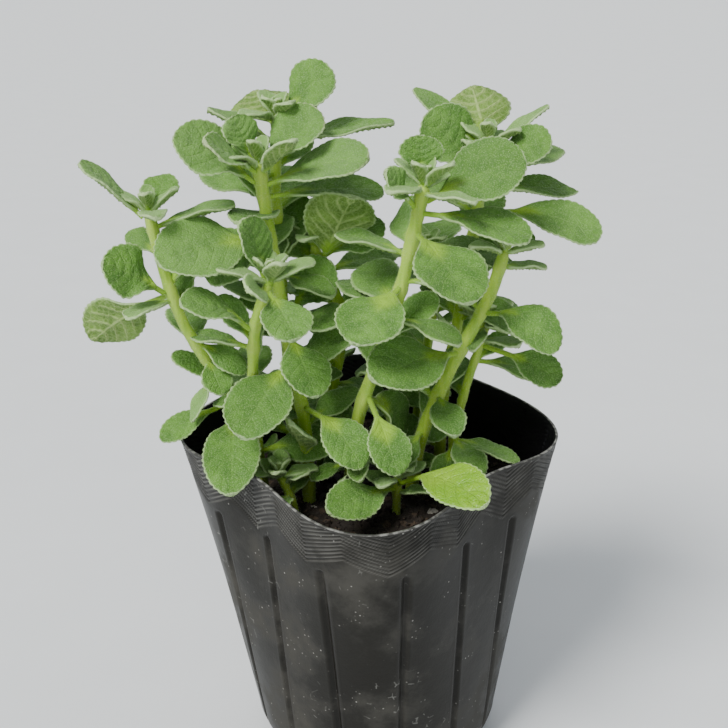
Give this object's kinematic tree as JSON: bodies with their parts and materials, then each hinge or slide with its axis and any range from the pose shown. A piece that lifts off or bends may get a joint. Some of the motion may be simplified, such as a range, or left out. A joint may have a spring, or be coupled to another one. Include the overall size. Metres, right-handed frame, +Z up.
{
  "type": "potted cuban oregano",
  "caption": "Potted herb: branching green stems with thick, felted, scallop-edged leaves, rooted in soil in a thin round ribbed nursery pot.",
  "frame": {"origin": "centre of the pot's flat underside", "axes": "+Z up out of the pot; -Y towards the side with the fullest low leaves; +X to the right seen from there"},
  "size_m": [0.1491, 0.1146, 0.2107],
  "materials": {
    "pot": "thin dusty black plastic with scuffs",
    "soil": "damp crumbly potting soil",
    "stem": "fleshy, finely haired green stem",
    "leaf": "fleshy, felted grey-green leaf with pale hairs"
  },
  "bodies": {
    "root": {"pot": "pot", "soil": "soil", "stem_a": "stem", "stem_b": "stem", "stem_c": "stem", "stem_d": "stem", "stem_e": "stem", "stem_f": "stem", "stem_g": "stem", "stem_h": "stem", "stem_j": "stem", "stem_k": "stem", "stem_s": "stem", "stem_t": "stem", "leaf_a_left": "leaf", "leaf_a_right": "leaf", "leaf_a_back": "leaf", "leaf_a_tip": "leaf", "leaf_a_young": "leaf", "leaf_a_under": "leaf", "leaf_a_low": "leaf", "leaf_a_mid": "leaf", "leaf_a_round": "leaf", "leaf_a_drop": "leaf", "leaf_b_top": "leaf", "leaf_b_back": "leaf", "leaf_b_right": "leaf", "leaf_b_mid": "leaf", "leaf_c_left": "leaf", "leaf_c_back": "leaf", "leaf_c_side": "leaf", "leaf_c_under": "leaf", "leaf_c_hang": "leaf", "leaf_c_far": "leaf", "leaf_d_up": "leaf", "leaf_d_front": "leaf", "leaf_d_arch": "leaf", "leaf_k_big": "leaf", "leaf_k_dark": "leaf", "leaf_k_right": "leaf", "leaf_j_back": "leaf", "leaf_e_up": "leaf", "leaf_e_left": "leaf", "leaf_e_big": "leaf", "leaf_e_right": "leaf", "leaf_e_front": "leaf", "leaf_e_dark": "leaf", "leaf_e_mid": "leaf", "leaf_e_spoon": "leaf", "leaf_e_low": "leaf", "leaf_f_left": "leaf", "leaf_f_back": "leaf", "leaf_f_right": "leaf", "leaf_f_rear": "leaf", "leaf_f_long": "leaf", "leaf_g_left": "leaf", "leaf_g_right": "leaf", "leaf_h_low": "leaf", "leaf_t_left": "leaf", "leaf_t_lime": "leaf"}
  },
  "joints": []
}
